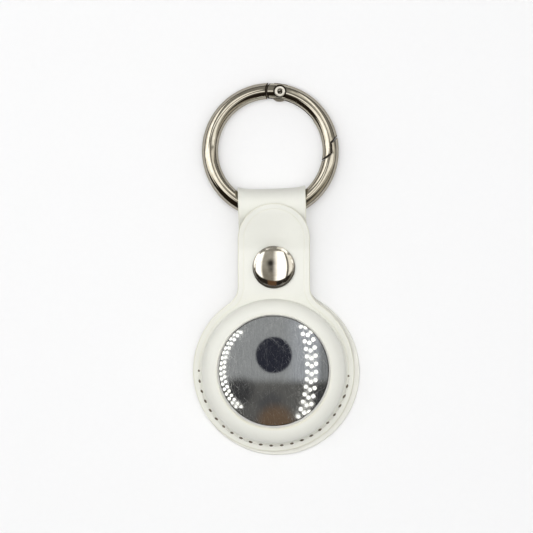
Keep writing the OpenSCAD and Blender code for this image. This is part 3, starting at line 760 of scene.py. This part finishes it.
tail_from = (loop_y - loop_mid_r * math.sin(tail_angle), loop_z + loop_mid_r * math.cos(tail_angle))
tail_run = (tail_from[1] - tail_z - tail_bend_r * (1 - math.cos(tail_angle))) / math.sin(tail_angle)
tail_bend = (tail_from[0] - tail_run * math.cos(tail_angle) - tail_bend_r * math.sin(tail_angle),
             tail_z + tail_bend_r)
loop_length = loop_mid_r * (math.pi + tail_angle)
bend_length = tail_bend_r * tail_angle
strap_length = loop_y + loop_length + tail_run + bend_length + tail_bend[0] - tail_end
BACK = Keyhole(back_r, strap_w, back_root_r, strap_length + back_drop, 150)


def strap_place(s, d):
    """Place (y, z) of a point that lies s along the strap and d outwards from its middle."""
    if s <= loop_y:
        return s, leather_t / 2 - d
    s -= loop_y
    if s <= loop_length:
        a = s / loop_mid_r - math.pi / 2
        return loop_y + (loop_mid_r + d) * math.cos(a), loop_z + (loop_mid_r + d) * math.sin(a)
    s -= loop_length
    if s <= tail_run:
        return (tail_from[0] - s * math.cos(tail_angle) - d * math.sin(tail_angle),
                tail_from[1] - s * math.sin(tail_angle) + d * math.cos(tail_angle))
    s -= tail_run
    if s <= bend_length:
        a = tail_angle - s / tail_bend_r
        return (tail_bend[0] + (tail_bend_r - d) * math.sin(a),
                tail_bend[1] - (tail_bend_r - d) * math.cos(a))
    return tail_bend[0] - (s - bend_length), tail_z + d


def fold_shift(x, s):
    """How far the fold's outer face draws in between its corners, which the ring pushes out.
    The inner face keeps its curve, in which the ring swings."""
    turn = (s - loop_y) / loop_mid_r - math.pi / 2
    if not -math.pi / 2 < turn < math.pi / 2:
        return 0
    return -fold_dip * math.cos(turn) ** 2 * (1 - (x / (strap_w / 2)) ** 4)


def askew(x, y):
    """A point of the back panel, turned about the snap as the panel is."""
    dy = y - snap_y
    return x * math.cos(skew) - dy * math.sin(skew), snap_y + x * math.sin(skew) + dy * math.cos(skew)


def back_sheet(skin):
    """The back panel with its strap, bent from one flat piece."""
    plan, faces, n, _ = plan_mesh(BACK, BACK_INSETS, 0, BACK_GRID)
    count = len(plan)
    points, edge = [], []
    for side in (1, -1):
        for x, s in plan:
            depth = max(BACK.inset(x, s), 0)
            d = side * (leather_t / 2 - rounding(depth, edge_round))
            s -= back_drop
            y, z = strap_place(s, d)
            points.append(askew(x, y + (fold_shift(x, s) if side > 0 else 0)) + (z,))
            # The back panel has a painted edge, but no crease.
            edge.append(edge_paint(min(depth, 0.9)))
    faces = [face[::-1] for face in faces] + [tuple(count + v for v in face) for face in faces]
    faces += [(i, (i + 1) % n, (i + 1) % n + count, i + count) for i in range(n)]
    return make_object("back_leather", points, faces, skin, {"edge": edge})


def back_lining_sheet(skin):
    """Flat lining on the inside of the back, which ends where the tail comes down."""
    end_y = tail_bend[0]
    shape = Keyhole(back_r, strap_w, back_root_r, end_y + back_drop + strap_w / 2, 12)
    loop = [(x, min(y, end_y + back_drop)) for x, y in shape.loop(0.02)]
    ring = [p for i, p in enumerate(loop) if i == 0 or math.dist(p, loop[i - 1]) > 0.001]
    n = len(ring)
    points = []
    for inset, z in ((0, leather_t), (0.04, leather_t + lining_t / 2), (0.12, layer_t)):
        shrink = 1 - inset / back_r
        points += [askew(x * shrink, y * shrink - back_drop) + (z,) for x, y in ring]
    faces = [tuple(range(n))[::-1], tuple(range(2 * n, 3 * n))]
    faces += ring_faces([0, n, 2 * n], n)
    return make_object("back_lining_sheet", points, faces, skin, smooth_faces=False)


# Stitches

def tube(path, radii, around):
    """Points, faces and the values along and around of a tube along a path, closed at both ends."""
    points, along, turn = [], [], []
    for k, p in enumerate(path):
        before, after = Vector(path[max(k - 1, 0)]), Vector(path[min(k + 1, len(path) - 1)])
        tangent = (after - before).normalized()
        side = tangent.cross(Vector((0, 0, 1))).normalized()
        up = side.cross(tangent)
        for i, a in enumerate(turns(around)):
            q = Vector(p) + side * (radii[0] * math.cos(a)) + up * (radii[1] * math.sin(a))
            points.append(tuple(q))
            along.append(k / (len(path) - 1))
            turn.append(i / around)
    faces = ring_faces([k * around for k in range(len(path))], around)
    faces.append(tuple(range(around))[::-1])
    faces.append(tuple(range(len(points) - around, len(points))))
    return points, faces, along, turn


def stitch_angle(i):
    """Angle of a slot, or of a place between two."""
    return stitch_from + (stitch_to - stitch_from) * i / stitch_count


def stitch_path(i, surface_z, outward):
    """A thread that comes out of one needle slot, crosses to the next and goes in again."""
    path = []
    for share in spread(0, 1, thread_steps):
        a = stitch_angle(i + thread_start + thread_run * share)
        lift = math.sin(math.pi * share) ** 0.6
        r = stitch_r + thread_lean * (2 * share - 1)
        z = surface_z + outward * (thread_lift * lift - thread_sunk)
        path.append((r * math.cos(a), r * math.sin(a), z))
    return path


def stitches(name, skin, surface_z, outward):
    """A row of threads, each a little flat."""
    points, faces, along, turn = [], [], [], []
    for i in range(stitch_count):
        p, f, s, t = tube(stitch_path(i, surface_z, outward), thread_radii, thread_sides)
        faces += [tuple(v + len(points) for v in face) for face in f]
        points += p
        along += s
        turn += t
    return make_object(name, points, faces, skin, {"along": along, "around": turn})


def needle_slots(name, skin, height_at, outward):
    """Slanted dark pieces at the ends of the stitches, painted shade of the slots that the needle left,
    flush with the leather.
    """
    points, faces = [], []
    around, rings = 20, 5
    for i in range(stitch_count + 1):
        a = stitch_angle(i)
        tangent = a + math.pi / 2 - slot_slant * (math.cos(a) + 0.3 * math.sin(2.3 * i))
        grow = 1 + 0.12 * math.sin(5.1 * i) if 0 < i < stitch_count else 0.55
        start = len(points)
        for k in range(1, rings + 1):
            share = min(k / (rings - 1), 1)
            sink = slot_sunk if k == rings else slot_proud * share ** 4
            for t in turns(around):
                u = slot_length / 2 * grow * share * math.cos(t)
                v = slot_width / 2 * share * math.sin(t) * (1 - slot_taper * math.cos(t) ** 2)
                x = stitch_r * math.cos(a) + u * math.cos(tangent) - v * math.sin(tangent)
                y = stitch_r * math.sin(a) + u * math.sin(tangent) + v * math.cos(tangent)
                points.append((x, y, height_at(math.hypot(x, y)) + outward * (slot_proud - sink)))
        rows = [start + k * around for k in range(rings)]
        shell = [tuple(range(start, start + around)), tuple(range(rows[-1], rows[-1] + around))[::-1]]
        shell += [face[::-1] for face in ring_faces(rows, around)]
        faces += [face[::outward] for face in shell]
    return make_object(name, points, faces, skin)


# Painted shade: dark strips in the depth of the ring's seam and latch

def ring_point(x, y, z):
    """Place over the floor of a point in the ring's own plane, at a height over that plane."""
    across, up = Vector(ring_across), Vector(ring_axis)
    return tuple(Vector(ring_centre) + across * x + up.cross(across) * y + up * z)


def gap_shade_strip(name, skin, middle, radius, start, end):
    """A dark strip of painted shade that fills the middle of a gap, so that the paper below doesn't show
    through it.
    """
    loop = arc(middle, radius + gate_gap - shade_strip_play, start, end, 9)
    loop += arc(middle, radius + shade_strip_play, end, start, 9)
    n = len(loop)
    points = [ring_point(x, y, z) for z in (-shade_strip_half, shade_strip_half) for x, y in loop]
    faces = [tuple(range(n))[::-1], tuple(range(n, 2 * n))] + ring_faces([0, n], n)
    return make_object(name, points, faces, skin, smooth_faces=False)


# Dressing the frame

def dress_nodes():
    """Each rigid node keeps its mesh and gets its finish."""
    finishes = (
        (nickel_material("polished_nickel", 0.05, 0.12), "snap_socket", "snap_stud", "snap_post"),
        (nickel_material("ring_nickel", 0.02, 0.06, 0.04, ring_gap_shade), "ring_body", "ring_gate"),
        (nickel_material("cap_nickel_shaded_rim", 0.06, 0.11, 0.1, cap_rim, CAP_TONES), "snap_cap"),
        (nickel_material("rivet_nickel", 0.3, 0.4, 0.1, rivet_shade_and_specks, RIVET_TONES), "gate_pin"),
        (plastic_material(), "tag_shell", "tag_body"),
        (plain_metal_material("drawn_wire", WIRE_TONES, 0.22, 0.38, 4.0), "snap_spring", "gate_spring"),
        (plain_metal_material("cell_can", CELL_TONES, 0.16, 0.3, 1.5), "coin_cell"),
        (plain_metal_material("plated_magnet", MAGNET_TONES, 0.25, 0.4, 2.0), "speaker_magnet"),
        (plain_metal_material("bare_copper", COPPER_TONES, 0.2, 0.36, 5.0), "voice_coil",
         "battery_contacts"),
        (cover_material(), "battery_cover"),
        (board_material(), "circuit_board"),
    )
    for finish, *names in finishes:
        for name in names:
            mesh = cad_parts[name].data
            mesh.materials.clear()
            mesh.materials.append(finish)


def dress_leather():
    """Bent and moulded leather with its linings, in place of the plain solids."""
    leather = leather_material()
    suede = lining_material()
    front = front_sheet("front_leather", leather, lining_t, layer_t, 0, wall_leather_t, dome_fillet,
                        edge_round, True)
    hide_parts("front_pocket", "front_flap")
    lining = front_sheet("front_lining", suede, 0, lining_t, wall_leather_t, wall_t, 0,
                         lining_round, False)
    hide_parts("pocket_lining", "flap_lining")
    for piece in (front, lining):
        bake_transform(piece)
    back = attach(back_sheet(leather), "case")
    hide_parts("back_panel")
    back_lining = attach(back_lining_sheet(suede), "case")
    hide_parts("back_lining")


def dress_stitches():
    """Both rows of threads with their slots, the front's down in the crease."""
    thread = thread_material()
    dark = slot_material()
    crease_z = 2 * layer_t - crease_depth
    rows = (
        ("front_threads", "stitches_front", crease_z, lambda r: 2 * layer_t - crease_at(front_r - r), 1),
        ("back_threads", "stitches_back", back_thread_z, lambda r: 0, -1),
    )
    for name, node, z, height_at, outward in rows:
        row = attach(stitches(name, thread, z, outward), "case")
        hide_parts(node)
        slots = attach(needle_slots(name + "_slots", dark, height_at, outward), "case")


def dress_gaps():
    """The seam's strip bends round the gate's pin, and the latch's round the middle of the ring."""
    dark = slot_material()
    pin = (wire_mid * math.sin(pin_angle), wire_mid * math.cos(pin_angle))
    seam_cord = 2 * math.asin((heel_r + gate_gap / 2) / (2 * wire_mid))
    seam_at = math.pi - pin_angle + seam_cord / 2
    shade_strips = (("seam_shade_strip", pin, heel_r, seam_at - shade_strip_turn, seam_at + shade_strip_turn),
              ("latch_shade_strip", (0, 0), wire_mid, math.pi / 2 - latch_end, math.pi / 2 - latch_start))
    for name, middle, radius, start, end in shade_strips:
        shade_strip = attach(gap_shade_strip(name, dark, middle, radius, start, end), "ring")


# Studio: what the metals mirror

# The ring mirrors the ceiling, and the battery cover and the snap cap low cards of their own, whose
# patterns are drawn in the metal's millimetres and enlarged
CARD_HEIGHT = 120
CARD_HALF = 420
CARD_SIDES = 64

WHITE = (2.7, 2.68, 2.62, 1)
BRIGHT = (1.95, 1.93, 1.86, 1)
CREAM = (1.45, 1.41, 1.31, 1)
TAN = (0.62, 0.58, 0.50, 1)
BLACK = (0.03, 0.022, 0.015, 1)

# Panels of the ceiling in drawing order: x range, y range, lean of the sides, soft edge, colour
PANELS = (
    ((130, 900), (-900, 110), 0, 22, TAN),
    ((-900, 900), (-900, 22), 0, 5, BLACK),
    ((100, 900), (-900, 22), 0, 50, TAN),
    ((-900, -145), (-22, 30), 0, 9, CREAM),
    ((-900, -30), (22, 78), 0, 4, BRIGHT),
    ((-135, -30), (44, 78), 0, 5, WHITE),
    ((-30, 25), (15, 48), 0, 3, (0.14, 0.13, 0.11, 1)),
    ((25, 130), (20, 50), 0, 5, (0.75, 0.72, 0.65, 1)),
    ((120, 900), (30, 100), 0, 14, (0.90, 0.88, 0.82, 1)),
    ((-34, 130), (49, 73), 0, 3, BRIGHT),
    ((15, 140), (77, 97), 0, 3, CREAM),
    ((-46, -8), (84, 134), 0, 4, BRIGHT),
    ((-900, -27), (60, 900), -0.55, 5, WHITE),
    ((-900, -185), (95, 900), 0, 20, CREAM),
    ((-20, 8), (120, 215), 0.28, 6, (1.12, 1.1, 1.03, 1)),
    ((8, 50), (96, 290), 0.28, 4, (2.1, 2.08, 2.0, 1)),
)

# Patches in the dark part of the cover, and spots in the dull middle of the cap: place, radius, tone
COVER_PATCHES = (((-8.0, -5.0), 3.2, 0.065), ((11.5, -6.5), 3.2, 0.07), ((-1.0, -7.5), 2.6, 0.10))
CAP_SPOTS = (((-0.7, 0.9), 0.85, 0.05), ((-0.6, -0.5), 0.55, 0.14))

# Columns of lamps: middle and radius of their arc, count, pitch across and along, lamp's radius,
# reach along y, and the side that they are on
LAMPS = (
    ((-22.7, 0.7), 31.6, 3, 1.02, 1.85, 0.46, (-11.4, 10.6), 1),
    ((0.0, 0.3), 12.05, 2, 0.82, 1.2, 0.37, (-8.7, 9.4), -1),
)

# Bands of light across the cap, each with its low end and high end and how soft they are
CAP_BOW = 0.014
CAP_BANDS = (
    (-4.9, 0.3, -3.1, 0.5, WHITE),
    (0.55, 1.0, 3.2, 0.3, WHITE),
    (3.35, 0.12, 3.75, 0.12, (0.18, 0.17, 0.155, 1)),
    (3.9, 0.15, 9, 0.1, CREAM),
)


def ceiling_pattern(net, x, y):
    """Light tent's ceiling as the ring mirrors it, in millimetres over the fob."""
    colour = (0.38, 0.37, 0.345, 1)
    for sides, ends, lean, soft, tone in PANELS:
        across = net.math("MULTIPLY_ADD", y, -lean, x)
        inside = net.times(net.band(across, *sides, soft), net.band(y, *ends, soft))
        colour = net.mix(inside, colour, tone)
    return colour


def cover_pattern(net, x, y):
    """What the battery cover mirrors: grey cloth above, the dark below, the lens, and lamps
    left and right."""
    colour = net.mix(net.band(x, 4, 20, 2.5), (0.40, 0.41, 0.405, 1), (0.48, 0.50, 0.52, 1))
    colour = net.mix(net.band(x, 10.8, 20, 0.6), colour, (0.30, 0.31, 0.31, 1))
    colour = net.mix(net.band(y, -20, -2.4, 1.3), colour, (0.15, 0.147, 0.137, 1))
    for at, radius, tone in COVER_PATCHES:
        colour = net.mix(net.spot(x, y, at, radius, 1.6), colour, (tone, tone, tone, 1))
    colour = net.mix(net.spot(x, y, (0.5, -12.5), 4.2, 1.6), colour, (0.185, 0.125, 0.08, 1))
    colour = net.mix(net.spot(x, y, (0, 3.7), 4.25, 0.2), colour, (0.032, 0.034, 0.048, 1))
    for lamps in LAMPS:
        colour = net.mix(lamp_dots(net, x, y, *lamps), colour, (3.0, 2.97, 2.75, 1))
    return colour


def lamp_dots(net, x, y, middle, arc_r, columns, pitch, row_pitch, radius, reach, side):
    """Columns of round lamps along an arc, every second column lower."""
    u = net.math("DIVIDE", net.minus(net.distance(x, y, middle), arc_r), pitch)
    u = net.math("ADD", u, columns / 2)
    column = net.math("FLOOR", u)
    lower = net.times(net.math("PINGPONG", column, 1.0), 0.3)
    right = net.times(net.minus(x, middle[0]), side)
    turn = net.math("ARCTAN2", net.minus(y, middle[1]), right)
    v = net.math("ADD", net.times(turn, arc_r / row_pitch), lower)
    across = net.times(net.minus(net.math("FRACT", u), 0.5), pitch)
    along = net.times(net.minus(net.math("FRACT", v), 0.5), row_pitch)
    dot = net.spot(across, along, (0, 0), radius, 0.08)
    inside = net.times(net.band(column, -0.5, columns - 0.5, 0.01), net.band(right, 0, FAR, 0.1))
    return net.times(net.times(dot, inside), net.band(y, *reach, 0.1))


def cap_pattern(net, x, y):
    """What the snap cap mirrors: a window on each side, bowed by the cap, a dull middle with a
    darker spot, and the dark table's edge below."""
    across = net.times(x, net.math("MULTIPLY_ADD", net.times(y, y), CAP_BOW, 1.0))
    colour = net.mix(net.band(y, -9, -0.5, 1.5), (0.52, 0.50, 0.455, 1), (0.34, 0.32, 0.28, 1))
    for at, radius, tone in CAP_SPOTS:
        colour = net.mix(net.spot(x, y, at, radius, 0.65), colour, (tone, 0.95 * tone, 0.88 * tone, 1))
    for low, low_soft, high, high_soft, tone in CAP_BANDS:
        colour = net.mix(net.band(across, low, high, low_soft, high_soft), colour, tone)
    colour = net.mix(net.band(y, 4.2, 9, 0.3), colour, (0.38, 0.36, 0.32, 1))
    below = net.mix(net.band(x, -1.6, 0.7, 0.2), (0.03, 0.025, 0.02, 1), (0.17, 0.095, 0.05, 1))
    return net.mix(net.beyond(x, y, (0, 3), 6.4, 0.2), colour, below)


# Low cards: name, middle, radius, height, enlargement and pattern
LOW_CARDS = (
    ("cover_card", (0.01, -0.06), 14.4, 18, 1.08, cover_pattern),
    ("cap_card", (0.01, snap_y), 10.1, 13, 1.95, cap_pattern),
)


def add_card(name, outline, height, pattern, middle=(0, 0), zoom=1):
    """A glowing card over the fob that only mirror-like reflection sees."""
    made, net, place = material(name)
    x, y = (net.math("DIVIDE", v, zoom) for v in net.plan(net.vector("SUBTRACT", place, (*middle, 0))))
    net.end(net.node("Emission", {"Color": pattern(net, x, y), "Strength": 1.0}))
    points = [(x, y, height) for x, y in outline]
    card = make_object(name, points, [tuple(range(len(points)))[::-1]], made, smooth_faces=False)
    for ray in ("camera", "diffuse", "transmission", "volume_scatter", "shadow"):
        setattr(card, "visible_" + ray, False)


# Studio: camera, floor, world and lamps

FLOOR_HALF, FLOOR_DROP = 2500, 0.16
WORLD_STRENGTH = 0.39

# Soft lamps: name, place, side and watts
LAMP_AIM = (0, 20, 0)
AREA_LAMPS = (
    ("key", (-60, 80, 700), 400, 2.64),
    ("side", (-320, 80, 400), 150, 0.2),
    ("fill", (200, -60, 570), 420, 0.55),
)


def square(half):
    """Corners of a square round the frame's origin."""
    return ((-half, -half), (half, -half), (half, half), (-half, half))


def add_camera():
    """Camera straight above the photograph's middle."""
    camera = bpy.data.cameras.new("camera")
    camera.sensor_width = SENSOR
    camera.lens = SENSOR * (CAMERA_HEIGHT - SCALE_Z) * PX_PER_MM / PHOTO_PX
    camera.clip_start, camera.clip_end = 0.01, 10
    place = add_object("camera", camera)
    x = (PHOTO_PX / 2 - ORIGIN_PX[0]) / PX_PER_MM
    y = (ORIGIN_PX[1] - PHOTO_PX / 2) / PX_PER_MM
    place.location = (x * MM, y * MM, CAMERA_HEIGHT * MM)
    bpy.context.scene.camera = place


def add_floor():
    """Sheet of paper just below the back stitches."""
    points = [(x, y, -FLOOR_DROP) for x, y in square(FLOOR_HALF)]
    make_object("floor", points, [(0, 1, 2, 3)], floor_material(), smooth_faces=False)


def add_cards():
    """The ceiling and the two low cards."""
    add_card("tent_ceiling", square(CARD_HALF), CARD_HEIGHT, ceiling_pattern)
    for name, middle, radius, height, zoom, pattern in LOW_CARDS:
        add_card(name, circle(middle, radius, CARD_SIDES), height, pattern, middle, zoom)


def add_world():
    """Soft white all round, with greyer walls where metal mirrors them."""
    world = bpy.data.worlds.new("tent")
    bpy.context.scene.world = world
    world.use_nodes = True
    net = Graph(world.node_tree)
    ray = net.node("LightPath")
    height = net.plan(net.node("TexCoord").outputs["Generated"])[1]
    walls = net.mix(net.band(height, -1.5, -0.25, 0.2), (0.50, 0.485, 0.45, 1), (0.16, 0.135, 0.11, 1))
    colour = net.mix(ray.outputs["Is Glossy Ray"], (1.0, 1.0, 1.0, 1), walls)
    net.end(net.node("Background", {"Color": colour, "Strength": WORLD_STRENGTH}), "OutputWorld")


def add_area(name, place, side, watts):
    """A soft lamp that metal doesn't mirror: the cards do that."""
    lamp = bpy.data.lights.new(name, "AREA")
    lamp.shape = "RECTANGLE"
    lamp.size = lamp.size_y = side * MM
    lamp.energy = watts
    made = add_object(name, lamp)
    made.location = [v * MM for v in place]
    made.rotation_euler = (Vector(LAMP_AIM) - Vector(place)).to_track_quat("-Z", "Y").to_euler()
    made.visible_glossy = False


def add_studio():
    """All that stands round the fob."""
    add_floor()
    add_cards()
    add_world()
    for lamp in AREA_LAMPS:
        add_area(*lamp)
    bpy.context.scene.view_settings.view_transform = "Standard"


add_camera()
dress_nodes()
dress_leather()
dress_stitches()
dress_gaps()
add_studio()
